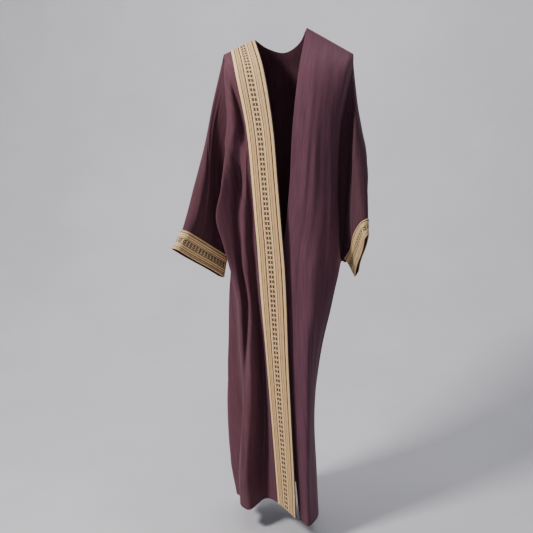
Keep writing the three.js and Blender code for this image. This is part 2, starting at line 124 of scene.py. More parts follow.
# Back: right seam, flank, ridge, valley, middle, valley, ridge, flank, left seam.
back = {
    "node": "back", "side": 1, "seam": [0, 8], "corners": [2, 6], "pitch": 4.9,
    "flat": (0.66, 1.42), "slot": "cloth_back", "tint": (0.094, 0.037, 0.049), "phase": 4.0,
    "rows": [
        [0, [-186, 5, -68], [-139.5, 2.5, -49], [-93, 0, -30], [-66, 30, -50], [-20, 52, -62],
         [26, 32, -40], [54, 0, 0], [119, 2.5, -36.5], [184, 5, -73]],
        [-125, [-176, 34], [-142, 62], [-98, 80], [-58, 88], [-8, 91],
         [40, 88], [80, 79], [132, 58], [178, 34]],
        [-275, [-163, 54], [-138, 84], [-100, 100], [-55, 101], [0, 105],
         [50, 101], [95, 99], [132, 82], [160, 54]],
        [-425, [-160, 56], [-140, 84], [-104, 101], [-58, 96], [-4, 107],
         [46, 96], [94, 101], [130, 82], [156, 56]],
        [-525, [-160, 52], [-142, 82], [-106, 102], [-62, 90], [-8, 108],
         [42, 90], [92, 101], [130, 80], [156, 50]],
        [-600, [-160, 38], [-145, 78], [-108, 102], [-64, 84], [-10, 109],
         [40, 85], [90, 101], [130, 74], [157, 36]],
        [-655, [-157, 14], [-148, 70], [-111, 101], [-66, 80], [-12, 109],
         [38, 80], [86, 99], [128, 66], [157, 14]],
        [-760, [-154, 30], [-147, 74], [-112, 104], [-70, 74], [-18, 110],
         [30, 74], [72, 99], [106, 68], [118, 28]],
        [-900, [-160, 40], [-152, 80], [-118, 109], [-78, 68], [-30, 113],
         [10, 68], [42, 103], [74, 70], [86, 32]],
        [-1080, [-166, 45], [-160, 84], [-126, 115], [-86, 64], [-44, 119],
         [-8, 66], [22, 108], [56, 72], [74, 38]],
        [-1270, [-160, 42], [-160, 86], [-130, 121], [-90, 64], [-46, 125],
         [-10, 66], [24, 114], [58, 74], [76, 40]],
        [-1375, [-150, 37, -1372], [-156, 86, -1374], [-130, 124, -1376], [-90, 66, -1372], [-46, 128, -1378],
         [-10, 68, -1374], [24, 117, -1378], [58, 76, -1378], [78, 40, -1380]],
    ],
    "folds": [(2.05, 4.4, 2.0, 10.9, 9, 2.8), (6.0, 5.0, 6.0, 10.9, 9, 2.8)],
    "creases": [
        (1.2, 0.6, 2.2, 3.2, 10, 3.0), (3.2, 0.5, 3.0, 2.4, 11, -2.4), (4.7, 0.8, 4.4, 3.8, 12, 2.2),
        (6.6, 0.5, 6.1, 3.0, 10, 2.6), (5.4, 1.6, 5.2, 4.6, 10, -2.4), (2.6, 3.2, 2.4, 6.4, 9, 2.4),
        (3.6, 4.2, 3.5, 7.8, 9, 1.8), (5.7, 4.6, 5.5, 8.4, 8, 2.2), (6.9, 3.4, 6.6, 6.6, 9, -2.6),
        (1.5, 5.6, 1.4, 9.2, 9, -2.4), (4.3, 7.0, 4.4, 10.6, 8, 1.8), (2.3, 8.0, 2.5, 10.8, 8, -1.8),
        (6.4, 7.2, 6.5, 10.6, 7, 2.0), (7.4, 1.2, 7.2, 3.6, 9, 2.2), (0.7, 1.4, 1.0, 4.4, 8, 2.4),
    ],
}

# A sleeve hangs as a loop between the arm and a lower end. Each section has the arm's x, y, z and radius,
# the lower end's x, y, z and radius, how far the loop's front has turned towards the body, in degrees, and the
# height of the wave that both layers share.
rightSleeve = {
    "node": "sleeve_right", "side": 1, "pitch": 4.6, "flat": (0.60, 0.40), "phase": 1.3,
    # the cloth's colour, made darker than the body's: painted shade for the shadow the sleeve hangs in
    "slot": "cloth_sleeve_right", "tint": (0.078, 0.030, 0.040),
    "sections": [
        [-184, 2, -98, 26, -164, 14, -640, 12, 0, 0],
        [-212, -12, -246, 31, -166, 13, -640, 12, 0, 0],
        [-231, -62, -402, 26, -172, 8, -640, 12, 30, 0],
        [-257, -126, -556, 16, -184, -6, -638, 12, 57, 1],
        [-287, -146, -614, 13, -197, -16, -704, 11, 58, -2],
    ],
    # creases: section and way round where each starts and ends, half width and height in mm
    "creases": [
        (0.20, 0.08, 0.22, 0.78, 5, -6.0), (0.5, 0.16, 3.0, 0.30, 9, 3.0), (1.2, 0.34, 3.0, 0.52, 10, -3.0),
        (1.7, 0.22, 3.0, 0.20, 7, 2.4), (1.6, 0.50, 3.0, 0.74, 9, 2.6), (2.2, 0.40, 2.9, 0.36, 5, 2.2),
        (2.3, 0.10, 3.0, 0.12, 6, 1.8),
        (0.6, 1.82, 2.9, 1.72, 10, 3.0), (1.0, 1.62, 3.0, 1.52, 10, -2.6), (1.6, 1.40, 3.0, 1.28, 9, 2.6),
        (2.0, 1.80, 2.7, 1.60, 6, 2.2), (1.4, 0.08, 2.2, 0.20, 7, -2.0),
    ],
}
leftSleeve = {
    "node": "sleeve_left", "side": -1, "pitch": 4.6, "flat": (0.58, 0.37), "phase": 3.2,
    # the cloth's colour, made darker than the body's and the right sleeve's: painted shade for the shadow this
    # sleeve hangs in
    "slot": "cloth_sleeve_left", "tint": (0.066, 0.026, 0.036),
    "sections": [
        [174, 6, -102, 27, 164, 14, -640, 12, 0, 0],
        [196, -11, -242, 29, 166, 13, -640, 12, 0, 0],
        [215, -58, -374, 28, 173, 8, -640, 16, 32, 0],
        [231, -116, -518, 14, 180, -6, -630, 13, 34, 4],
        [241, -127, -566, 10, 206, -18, -681, 10, 6, -2],
    ],
    "creases": [
        (0.6, 0.14, 3.0, 0.24, 8, 2.8), (1.0, 0.30, 3.0, 0.46, 9, -2.6), (1.6, 0.48, 3.0, 0.66, 9, 2.6),
        (2.0, 0.20, 2.9, 0.16, 6, 2.0), (0.6, 1.84, 2.9, 1.76, 9, 2.8), (1.1, 1.64, 3.0, 1.50, 10, -2.4),
        (1.7, 1.42, 3.0, 1.30, 8, 2.4), (2.2, 0.34, 2.9, 0.32, 5, 2.0),
    ],
}

# Across a band, from its inner edge: where each strand ends in percent, its height in mm, its colour's number.
bandStrands = [
    (1.6, 0.2, 3), (12.0, 1.3, 4), (14.6, 0.1, 3), (21.4, 1.0, 1), (22.8, 0.1, 2),
    (30.0, 1.0, 1), (33.8, 0.1, 3), (38.8, 1.1, 0), (40.0, 0.1, 2),
    (59.2, 0.35, 1), (60.4, 0.1, 2), (65.4, 1.1, 0), (67.6, 0.1, 3), (74.6, 0.9, 1), (76.0, 0.1, 2),
    (84.6, 0.9, 1), (88.8, 0.1, 3), (98.4, 1.7, 4), (100.0, 0.4, 3),
]
cuffStrands = [
    (8.4, 1.6, 4), (12.2, 0.1, 3), (20.4, 1.1, 0), (23.0, 0.1, 2), (30.4, 1.1, 0),
    (33.0, 0.1, 2), (37.0, 1.0, 0), (40.0, 0.1, 3),
    (61.4, 0.35, 0), (64.8, 0.1, 3), (72.4, 1.0, 0), (75.2, 0.1, 2),
    (82.4, 1.0, 0), (85.4, 0.1, 3), (90.0, 0.9, 0), (91.6, 0.1, 2), (100.0, 1.6, 4),
]


def slopeAt(before, at, after, first, second):
    through = (after - before) / (first + second)
    return (at - before) / first - through + (after - at) / second


def apart(a, b):
    return np.sqrt(np.maximum(np.linalg.norm(b - a, axis=-1, keepdims=True), 0.01))


# a smooth curve through points; whole values of u are the points, and a corner breaks it by its weight
def curveAt(points, u, corners=(), weight=0.0):
    last = len(points) - 1
    i = min(int(u), last - 1)
    k = u - i
    a, b = points[i], points[i + 1]
    before = points[i - 1] if i > 0 else 2 * a - b
    after = points[i + 2] if i + 2 <= last else 2 * b - a
    step = apart(a, b)
    straight = (b - a) / step
    start = slopeAt(before, a, b, apart(before, a), step)
    end = slopeAt(a, b, after, step, apart(b, after))
    if i in corners:
        start = start + (straight - start) * weight
    if i + 1 in corners:
        end = end + (straight - end) * weight
    held = a * (2 * k**3 - 3 * k * k + 1) + b * (3 * k * k - 2 * k**3)
    return held + step * (start * (k**3 - 2 * k * k + k) + end * (k**3 - k * k))


def rowPoints(panel):
    rows = panel["rows"]
    return [np.array([[p[0], p[1], p[2] if len(p) > 2 else row[0]] for p in row[1:]], float) for row in rows]


def seamPoints(panel, line):
    return [row[line] for row in rowPoints(panel)]


# every line's point at a row value; the seam lines break at the underarm
def linesAt(panel, v):
    rows = panel["points"]
    across = curveAt(rows, v)
    for line in panel["seam"]:
        run = [row[line] for row in rows]
        broken = curveAt(run[:underarm + 1], v) if v <= underarm else curveAt(run[underarm:], v - underarm)
        across[line] = broken
    return across


def panelGrid(panel, us, vs):
    panel["points"] = rowPoints(panel)
    across = np.array([linesAt(panel, v) for v in vs])
    weight = np.maximum(0, 1 - np.array(vs) / 0.8)[:, None]
    lines = [across[:, k] for k in range(across.shape[1])]
    return np.stack([curveAt(lines, u, panel["corners"], weight) for u in us], axis=1)


# parameter values that give steps of about one pitch, with more of them at given mm from the start and the end
def evenly(lengths, pitch, least=1, nearStart=(), nearEnd=()):
    values = [0.0]
    for i, length in enumerate(lengths):
        count = max(least, math.ceil(length / pitch))
        values += [i + k / count for k in range(1, count + 1)]
    total = len(lengths)
    values += [d / lengths[0] for d in nearStart] + [total - d / lengths[-1] for d in nearEnd]
    values = sorted(values)
    kept = [values[0]]
    for value in values[1:]:
        if value - kept[-1] > 1e-3:
            kept.append(value)
    kept[-1] = float(total)
    return kept


def runLengths(grid, axis):
    steps = np.linalg.norm(np.diff(grid, axis=axis), axis=-1)
    zero = np.zeros_like(np.take(steps, [0], axis=axis))
    return np.concatenate([zero, np.cumsum(steps, axis=axis)], axis=axis)


def normalsOf(grid, side, closed=False):
    if closed:
        wide = np.concatenate([grid[:, -2:-1], grid, grid[:, 1:2]], axis=1)
        across = wide[:, 2:] - wide[:, :-2]
    else:
        across = np.gradient(grid, axis=1)
    down = np.gradient(grid, axis=0)
    out = np.cross(across, down)
    return side * out / np.maximum(np.linalg.norm(out, axis=-1, keepdims=True), 1e-9)


# troughs and ridges, laid out in lengths of the cloth: a soft one has a shallow hollow on each side, and a sharp
# one is a folded edge
def creased(across, down, us, vs, creases, sharp=False):
    lift = np.zeros_like(across)
    for u0, v0, u1, v1, width, height in creases:
        ends = []
        for u, v in ((u0, v0), (u1, v1)):
            i, j = np.searchsorted(vs, v), np.searchsorted(us, u)
            i, j = min(i, len(vs) - 1), min(j, len(us) - 1)
            ends.append((across[i, j], down[i, j]))
        (ax, ay), (bx, by) = ends
        length = math.hypot(bx - ax, by - ay)
        along = ((across - ax) * (bx - ax) + (down - ay) * (by - ay)) / length**2
        off = ((across - ax) * (by - ay) - (down - ay) * (bx - ax)) / length
        off = off + 1.2 * np.sin(along * 5.3 + ax)  # no crease is quite straight
        swell = np.clip(np.sin(np.pi * np.clip(along, 0, 1)), 0, 1) ** 0.7
        q = (off / (width * (0.75 + 0.5 * swell))) ** 2
        profile = np.exp(-np.sqrt(q + 0.003)) if sharp else (1.15 - 0.55 * q) * np.exp(-q)
        lift += height * swell * profile
    return lift


# the cloth's own unevenness, long down the grain and short across it
def uneven(across, down, phase):
    slow = np.sin(across / 23 + 1.7 * np.sin(down / 190 + phase) + phase) * np.sin(down / 260 + 2 * phase)
    fine = np.sin(across / 8.3 + 2.1 * np.sin(down / 120 + 3 * phase)) * np.sin(down / 95 + across / 60 + phase)
    return 0.55 * slow + 0.22 * fine


# a grid made by the operator, with its points laid on the surface
def gridMesh(name, points, uv, closedAcross=False, marks=None):
    rows, wide = points.shape[:2]
    mesh = bmesh.new()
    bmesh.ops.create_grid(mesh, x_segments=wide - 1, y_segments=rows - 1, size=0.5)
    mesh.verts.ensure_lookup_table()
    layer = mesh.loops.layers.uv.new("cloth")
    extra = mesh.loops.layers.uv.new("edges") if marks is not None else None
    index = {}
    for vertex in mesh.verts:
        j = round((vertex.co.x + 0.5) * (wide - 1))
        i = round((vertex.co.y + 0.5) * (rows - 1))
        index[vertex.index] = (i, j)
    for face in mesh.faces:
        for loop in face.loops:
            i, j = index[loop.vert.index]
            loop[layer].uv = uv[i, j]
            if extra:
                loop[extra].uv = marks[i, j]
    for vertex in mesh.verts:
        i, j = index[vertex.index]
        vertex.co = points[i, j]
    if closedAcross:
        bmesh.ops.remove_doubles(mesh, verts=mesh.verts, dist=1e-6)
    for face in mesh.faces:
        face.smooth = True
    return finished(mesh, name)


def finished(mesh, name):
    data = bpy.data.meshes.new(name)
    mesh.to_mesh(data)
    mesh.free()
    piece = bpy.data.objects.new(name, data)
    bpy.context.collection.objects.link(piece)
    return piece


# turns the sheet over if its faces look inwards
def faceOut(piece, normals, points):
    data = piece.data
    face = data.polygons[len(data.polygons) // 2]
    centre = np.array(face.center)
    away = np.linalg.norm((points - centre).reshape(-1, 3), axis=1)
    out = normals.reshape(-1, 3)[away.argmin()]
    if np.dot(out, np.array(face.normal)) < 0:
        data.flip_normals()


def thicken(piece, thickness):
    wall = piece.modifiers.new("wall", "SOLIDIFY")
    wall.thickness = thickness
    wall.offset = 0.0
    wall.use_quality_normals = True


def dressed(piece, material):
    piece.data.materials.append(material)
    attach(piece, "root")


class Wire:  # a socket that can be added, multiplied and compared
    def __init__(self, tree, socket=None):
        self.tree = tree
        self.socket = socket

    def make(self, kind, settings=None, inputs=None, output=0):
        node = self.tree.nodes.new("ShaderNode" + kind)
        for name, value in (settings or {}).items():
            if name == "stops":
                ramp = node.color_ramp
                ramp.interpolation = settings.get("blend", "LINEAR")
                ramp.elements.remove(ramp.elements[1])
                ramp.elements[0].position, ramp.elements[0].color = value[0]
                for place, tint in value[1:]:
                    ramp.elements.new(place).color = tint
            elif name != "blend":
                setattr(node, name, value)
        for name, value in (inputs or {}).items():
            if isinstance(value, Wire):
                self.tree.links.new(value.socket, node.inputs[name])
            else:
                node.inputs[name].default_value = value
        return Wire(self.tree, node.outputs[output])

    def maths(self, operation, first, second=0.0, third=0.0):
        return self.make("Math", {"operation": operation}, {0: first, 1: second, 2: third})

    def __add__(self, other):
        return self.maths("ADD", self, other)

    def __mul__(self, other):
        return self.maths("MULTIPLY", self, other)

    def __sub__(self, other):
        return self.maths("SUBTRACT", self, other)

    def __rsub__(self, other):
        return self.maths("SUBTRACT", other, self)

    def __truediv__(self, other):
        return self.maths("DIVIDE", self, other)

    def __gt__(self, other):
        return self.maths("GREATER_THAN", self, other)

    def __lt__(self, other):
        return self.maths("LESS_THAN", self, other)

    __radd__ = __add__
    __rmul__ = __mul__

    def sine(self):
        return self.maths("SINE", self)

    def size(self):
        return self.maths("ABSOLUTE", self)

    def floored(self):
        return self.maths("FLOOR", self)

    def upTo(self, low, high):
        return self.make("MapRange", {"interpolation_type": "SMOOTHSTEP"}, {0: self, 1: low, 2: high})

    def mixed(self, first, second):
        return self.make("Mix", {"data_type": "RGBA"}, {0: self, 6: first, 7: second}, 2)


def colour(red, green, blue):
    return (red, green, blue, 1.0)


def scaled(tint, share):
    return colour(*[min(1.0, part * share) for part in tint])


def newMaterial(name, settings):
    material = bpy.data.materials.new(name)
    material.use_nodes = True
    tree = material.node_tree
    shader = tree.nodes["Principled BSDF"]
    for socket, value in settings.items():
        shader.inputs[socket].default_value = value
    return material, Wire(tree), shader


def feed(wire, shader, socket):
    wire.tree.links.new(wire.socket, shader.inputs[socket])


def bumped(start, height, distance, strength=1.0):
    return start.make("Bump", {}, {"Height": height, "Distance": distance, "Strength": strength})


crepe = {
    "slub": (620.0, 22.0, 1), "broad": (210.0, 9.0, 1), "grain": 1500.0,  # per metre: across, down the grain
    "rough": 0.82, "sheen": 0.16, "bump": 0.00035,
    "tones": ((0.52, 0.74), (0.70, 0.95), (0.80, 1.08), (0.98, 1.32)),  # place on the ramp, share of the tint
    # in metres: how far the stitching is from the hem, and where each line fades from full strength to nothing; the
    # last is the painted highlight along a turned edge
    "hemFold": (0.0062, 0.0082), "stitchAt": 0.0068, "stitch": (0.0003, 0.0009), "worn": (0.0, 0.0035),
}


def crepeMaterial(name, tint):
    material, start, shader = newMaterial(name, {
        "Roughness": crepe["rough"], "Sheen Weight": crepe["sheen"], "Sheen Roughness": 0.45,
        "Sheen Tint": colour(0.80, 0.52, 0.62), "Specular IOR Level": 0.18,
    })
    place = start.make("UVMap", {"uv_map": "cloth"})
    slubPlace = start.make("Mapping", {}, {"Vector": place, "Scale": crepe["slub"]})
    slub = start.make("TexNoise", {}, {"Vector": slubPlace, "Scale": 0.55, "Detail": 3.0, "Roughness": 0.55})
    broadPlace = start.make("Mapping", {}, {"Vector": place, "Scale": crepe["broad"]})
    broad = start.make("TexNoise", {}, {"Vector": broadPlace, "Scale": 0.5, "Detail": 2.0, "Roughness": 0.5})
    grainPlace = start.make("Mapping", {}, {"Vector": place, "Scale": (crepe["grain"], 0.6 * crepe["grain"], 1)})
    grain = start.make("TexNoise", {}, {"Vector": grainPlace, "Scale": 1.0, "Detail": 2.0})
    cloudy = start.make("TexNoise", {}, {"Vector": place, "Scale": 9.0, "Detail": 2.0})
    # distance from the turned edge, and from the hem, in metres
    fromEdge = start.make("SeparateXYZ", {}, {"Vector": start.make("UVMap", {"uv_map": "edges"})})
    fromHem = start.make("SeparateXYZ", {}, {"Vector": start.make("UVMap", {"uv_map": "edges"})}, 1)
    hemFold = 1 - fromHem.upTo(*crepe["hemFold"])
    stitchLine = 1 - (fromHem - crepe["stitchAt"]).size().upTo(*crepe["stitch"])
    # painted highlight: the cloth is lighter within 3.5 mm of a turned edge, where the fold catches the light; it
    # is mixed in below
    wornEdge = 1 - fromEdge.upTo(*crepe["worn"])
    tone = slub * 0.90 + broad * 0.26 + grain * 0.18 + cloudy * 0.16
    stops = [(at, scaled(tint, part)) for at, part in crepe["tones"]]
    ramp = tone.make("ValToRGB", {"stops": stops}, {"Fac": tone})
    shaded = (hemFold * 0.12 + stitchLine * 0.35).mixed(ramp, scaled(tint, 0.55))
    worn = (wornEdge * 0.25).mixed(shaded, scaled(tint, 1.5))
    feed(worn, shader, "Base Color")
    height = slub * 0.6 + grain * 0.25 + broad * 0.5 + hemFold * 0.6 - stitchLine * 0.9
    feed(bumped(start, height, crepe["bump"], 0.9), shader, "Normal")
    feed(0.74 + slub * 0.18, shader, "Roughness")
    return material


gold = {
    "tints": [
        (0.88, 0.62, 0.30),  # pale cord
        (0.64, 0.40, 0.18),  # duller ground
        (0.22, 0.105, 0.045),  # thin dark line
        (0.040, 0.016, 0.010),  # dark brown line
        (0.90, 0.63, 0.30),  # twisted edge
    ],
    "brown": (0.035, 0.014, 0.010), "stitch": (0.95, 0.76, 0.47), "rough": 0.55, "sheen": 0.05,
    # threads round a strand and in the twisted edge, in radians a metre: along the band, across it
    "wound": (5200, 1500), "slant": (6.2832 / 0.0034, 1100),
    # in metres: how uneven a patch's edge is, and the radius of the knot where stitches cross
    "ragged": 0.0012, "knot": 0.0011,
    "edgeDark": (0.34, 0.21, 0.115),
}


# a band's colours and cross stitches, on its own lengths: x across from the inner edge, y along
def bandMaterial(name, strands, width, pitch, motif):
    material, start, shader = newMaterial(name, {
        "Roughness": gold["rough"], "Sheen Weight": gold["sheen"],
        "Sheen Roughness": 0.5, "Specular IOR Level": 0.32,
    })
    place = start.make("UVMap", {"uv_map": "cloth"})
    across = start.make("SeparateXYZ", {}, {"Vector": place})
    along = start.make("SeparateXYZ", {}, {"Vector": place}, 1)
    share = across / width
    places = [0.0] + [strand[0] / 100 for strand in strands[:-1]]
    lanes = [(at, colour(*gold["tints"][strand[2]])) for at, strand in zip(places, strands)]
    first = share.make("ValToRGB", {"stops": lanes, "blend": "CONSTANT"}, {"Fac": share})
    # threads wound round each strand
    woundAlong, woundAcross = gold["wound"]
    wound = (along * woundAlong + across * woundAcross).sine() * 0.5 + 0.5
    fineNoise = start.make("TexNoise", {}, {"Vector": place, "Scale": 900.0, "Detail": 2.0})
    slowNoise = start.make("TexNoise", {}, {"Vector": place, "Scale": 60.0, "Detail": 3.0})
    # the edge's rope: slanting threads
    edgeLow, edgeHigh = motif["rope"]
    rope = (share > edgeLow) * (share < edgeHigh) if edgeHigh < 1 else share > edgeLow
    if motif["ropeToo"]:
        rope = rope + (share < motif["ropeToo"])
    slantAlong, slantAcross = gold["slant"]
    slant = (along * slantAlong + across * slantAcross).sine().upTo(-0.2, 0.9)
    # the middle lane: dark patches with pale stitches, crossed on the cuffs and in pairs down the front
    low, high = motif["lane"]
    middle, half = (low + high) / 2 * width, (high - low) / 2 * width
    tall, broad = pitch * motif["tall"], half * 0.92
    cell = along / pitch
    fromCell = (cell - cell.floored() - 0.5) * pitch
    step = fromCell.size()
    side = (across - middle).size()
    ragged = (fineNoise - 0.5) * gold["ragged"]
    if motif["pairs"]:
        patch = (((side - half * 0.50).size() + ragged) < half * 0.36) * ((step + ragged) < tall)
        gap = pitch * 0.5 - step
        arms = ((gap * 1.9 - side).size() < motif["arm"]) * (gap < pitch * 0.5 - tall)
    else:
        patch = ((step + ragged) < tall) * ((side + ragged) < broad)
        within = (step < tall * 1.25) * (side < broad)
        arms = ((step * (broad / tall) - side).size() + ragged < motif["arm"]) * within
    knot = (step * step + side * side) < gold["knot"] * gold["knot"]
    pale = (arms + knot) > 0.5
    dark = patch * (1 - pale)
    body = (0.75 * fineNoise + 0.45 * slowNoise + 0.12 * wound).upTo(0.35, 0.95).mixed(
        first.make("HueSaturation", {}, {"Color": first, "Value": 0.74}),
        first.make("HueSaturation", {}, {"Color": first, "Value": 1.12}))
    ropey = (rope * (1 - slant) * 0.45).mixed(body, colour(*gold["edgeDark"]))
    stitched = (pale * 0.9).mixed(ropey, colour(*gold["stitch"]))
    spotted = (dark * 0.94).mixed(stitched, colour(*gold["brown"]))
    feed(spotted, shader, "Base Color")
    height = wound * 0.14 + fineNoise * 0.5 + pale * 0.9 - dark * 0.5 + rope * slant * 1.2
    feed(bumped(start, height, 0.0004, 0.9), shader, "Normal")
    feed(0.42 + fineNoise * 0.25 + dark * 0.25, shader, "Roughness")
    return material


def underMaterial():
    material, start, shader = newMaterial("braidUnderside", {"Roughness": 0.8, "Sheen Weight": 0.1})
    place = start.make("UVMap", {"uv_map": "cloth"})
    weave = start.make("TexNoise", {}, {"Vector": place, "Scale": 700.0, "Detail": 2.0})
    tone = weave.make("ValToRGB", {"stops": [
        (0.3, colour(0.105, 0.042, 0.026)), (0.7, colour(0.19, 0.082, 0.048))]}, {"Fac": weave})
    feed(tone, shader, "Base Color")
    feed(bumped(start, weave, 0.0003), shader, "Normal")
    return material


# in mm: how deep and how wide a seam and the two rows of stitching draw the cloth in, and where the rows are
seamDip, hemDip, edgeDip = (0.9, 2.6), (0.35, 1.3), (0.35, 1.6)
hemStitch, edgeStitch, edgeStitchFrom = 6.8, 9, 4
# in mm: where a panel's creases have faded in, from a side seam and from the top, and a sleeve's from its armhole
sideFade, topFade, armholeFade = 14, 22, 16
# in mm: extra rows beside a seam and at the hem, and the farthest distance from an edge that a sheet notes
seamSteps, hemSteps, farthest = (1.5, 3), (1, 2.5, 4.5, 5.8, 6.8, 7.8, 9, 12), 60


# how far a stitched line draws the cloth in at each distance from it
def groove(distance, depth, wide):
    return depth * np.exp(-((distance / wide) ** 2))


def makePanel(panel):
    rows = rowPoints(panel)
    widths = np.mean([np.linalg.norm(np.diff(row, axis=0), axis=1) for row in rows[2:]], axis=0)
    lengths = [np.mean(np.linalg.norm(b - a, axis=1)) for a, b in zip(rows, rows[1:])]
    us = evenly(widths, panel["pitch"], 2, nearStart=seamSteps)
    vs = evenly(lengths, panel["pitch"], 2, nearStart=seamSteps, nearEnd=hemSteps)
    grid = panelGrid(panel, us, vs)
    across, down = runLengths(grid, 1), runLengths(grid, 0)
    fromHem = down[-1:, :] - down
    fromFar = across[:, -1:] - across
    out = normalsOf(grid, panel["side"])
    lift = creased(across, down, us, vs, panel["creases"]) + uneven(across, down, panel["phase"])
    lift = lift + creased(across, down, us, vs, panel["folds"], True)
    # creases and unevenness fade towards the edges that other pieces share
    if len(panel["seam"]) == 1:
        seamAway, topAway, turned = fromFar, down, across
    else:
        seamAway = np.minimum(fromFar, across)
        topAway = down + 6 * (np.abs(np.array(us) - neckMiddle)[None, :] < neckReach)  # no seam along the neck
        turned = np.full_like(across, farthest)
    fade = np.clip(seamAway / sideFade, 0, 1) * np.clip(down / topFade, 0, 1)
    if panel["node"] == "front_right":
        fade = fade * np.clip((np.array(us)[None, :] - 1) * 1.6, 0, 1)  # flat under the band
    lift = lift * fade
    nearest = np.minimum(seamAway, topAway)
    lift = lift - groove(nearest, *seamDip) - groove(fromHem - hemStitch, *hemDip)
    if panel["node"] == "front_left":
        lift = lift - groove(across - edgeStitch, *edgeDip) * (down > edgeStitchFrom)
    points = grid + out * lift[..., None]
    uv = np.stack([across, -down], axis=-1) * mm
    marks = np.minimum(np.stack([turned, fromHem], axis=-1), farthest) * mm
    piece = gridMesh("cloth_" + panel["node"], points * mm, uv, marks=marks)
    faceOut(piece, out, points * mm)
    thicken(piece, clothWall)
    dressed(piece, crepeMaterial("crepe_" + panel["node"], panel["tint"]))
    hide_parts(panel["node"])


def unitOf(vector):
    return vector / np.linalg.norm(vector, axis=-1, keepdims=True)


# points on a loop round the arm and the lower end, from 0 at the arm to 1 at the lower end
def loopPoints(arm, low, big, small, wave, toFront, along, ways, sign):
    length = np.linalg.norm(low - arm)
    angle = math.acos((big - small) / length)
    side = math.sqrt(length**2 - (big - small) ** 2)
    parts = [big * (math.pi - angle), side, small * angle]
    way = ways * sum(parts)
    turn = math.pi - way / big
    k = (way - parts[0]) / side
    tail = angle - (way - parts[0] - parts[1]) / small
    first, second = way < parts[0], way < parts[0] + parts[1]
    flankX = big * math.cos(angle) * (1 - k) + (length + small * math.cos(angle)) * k
    flankY = big * math.sin(angle) * (1 - k) + small * math.sin(angle) * k
    x = np.where(first, big * np.cos(turn), np.where(second, flankX, length + small * np.cos(tail)))
    y = np.where(first, big * np.sin(turn), np.where(second, flankY, small * np.sin(tail)))
    sway = wave * np.sin(2 * np.pi * x / length)
    return arm + along * x[:, None] + toFront * (y * sign)[:, None] + np.array([1.0, 0, 0]) * sway[:, None]


def sleeveGrid(sleeve, frontSeam, backSeam, ss, ts):
    sections = [np.array(row, float) for row in sleeve["sections"]]
    arms, lows = [row[0:3] for row in sections], [row[4:7] for row in sections]
    shapes = [row[[3, 7, 8, 9]] for row in sections]
    ts = np.array(ts)
    wayRound = np.where(ts <= 1, ts, 2 - ts)
    sign = np.where(ts <= 1, 1.0, -1.0)
    hole = np.array([curveAt(frontSeam if t <= 1 else backSeam, r * underarm) for t, r in zip(ts, wayRound)])
    grid = []
    for s in ss:
        arm, low, (big, small, turn, wave) = curveAt(arms, s), curveAt(lows, s), curveAt(shapes, s)
        along = unitOf(low - arm)
        angle = math.radians(turn)
        level = np.array([sleeve["side"] * math.sin(angle), -math.cos(angle), 0.0])
        toFront = unitOf(level - along * np.dot(level, along))
        loop = loopPoints(arm, low, big, small, wave * sleeve["side"], toFront, along, wayRound, sign)
        share = 1 - (1 - s / blendRange) ** 2 if s < blendRange else 1.0
        grid.append(hole + (loop - hole) * share)
    return np.array(grid)


def sleeveSeams(front, line, backLine):
    return seamPoints(front, line)[:underarm + 1], seamPoints(back, backLine)[:underarm + 1]


def makeSleeve(sleeve, front, line, backLine):
    frontSeam, backSeam = sleeveSeams(front, line, backLine)
    coarse = sleeveGrid(sleeve, frontSeam, backSeam, [0, 1, 2, 3, 4], np.linspace(0, 2, 41))
    lengths = np.linalg.norm(np.diff(coarse, axis=0), axis=-1).mean(axis=1)
    ss = evenly(lengths, sleeve["pitch"], 4, nearStart=seamSteps, nearEnd=(1, 3))
    count = math.ceil(float(runLengths(coarse, 1)[:, -1].mean()) / sleeve["pitch"] / 2)
    # closer together at both ends of the loop, where it bends
    half = np.linspace(0, 1, count + 1)
    half = half - 0.085 * np.sin(2 * np.pi * half)
    ts = list(half) + list(2 - half[::-1][1:])
    grid = sleeveGrid(sleeve, frontSeam, backSeam, ss, ts)
    across, down = runLengths(grid, 1), runLengths(grid, 0)
    out = normalsOf(grid, -sleeve["side"], True)
    swapped = [(t0, s0, t1, s1, w, h) for s0, t0, s1, t1, w, h in sleeve["creases"]]
    lift = creased(across, down, ts, ss, swapped) + uneven(across, down, sleeve["phase"])
    # creases fade towards the armhole, the band, the arm and the lower end
    lift = lift * np.clip(down / armholeFade, 0, 1) * np.clip((cuffStart - np.array(ss))[:, None] * 3, 0, 1)
    lift = lift * np.clip(np.sin(np.pi * np.array(ts))[None, :] ** 2 * 14, 0, 1)
    lift = lift - groove(down, *seamDip)
    points = grid + out * lift[..., None]
    points[:, -1] = points[:, 0]
    uv = np.stack([across, -down], axis=-1) * mm
    fromCuff = down[-1:, :] - down
    marks = np.minimum(np.stack([fromCuff, fromCuff], axis=-1), farthest) * mm
    piece = gridMesh("cloth_" + sleeve["node"], points * mm, uv, True, marks)
    faceOut(piece, out, points * mm)
    thicken(piece, clothWall)
    dressed(piece, crepeMaterial("crepe_" + sleeve["node"], sleeve["tint"]))
    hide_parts(sleeve["node"])
    return frontSeam, backSeam


bandGround, bandGap, underPoints = 1.1, 0.9, 9  # mm under the strands, mm off the panel, points across its back
edgeStrand = 4  # the number of the twisted edge's colour


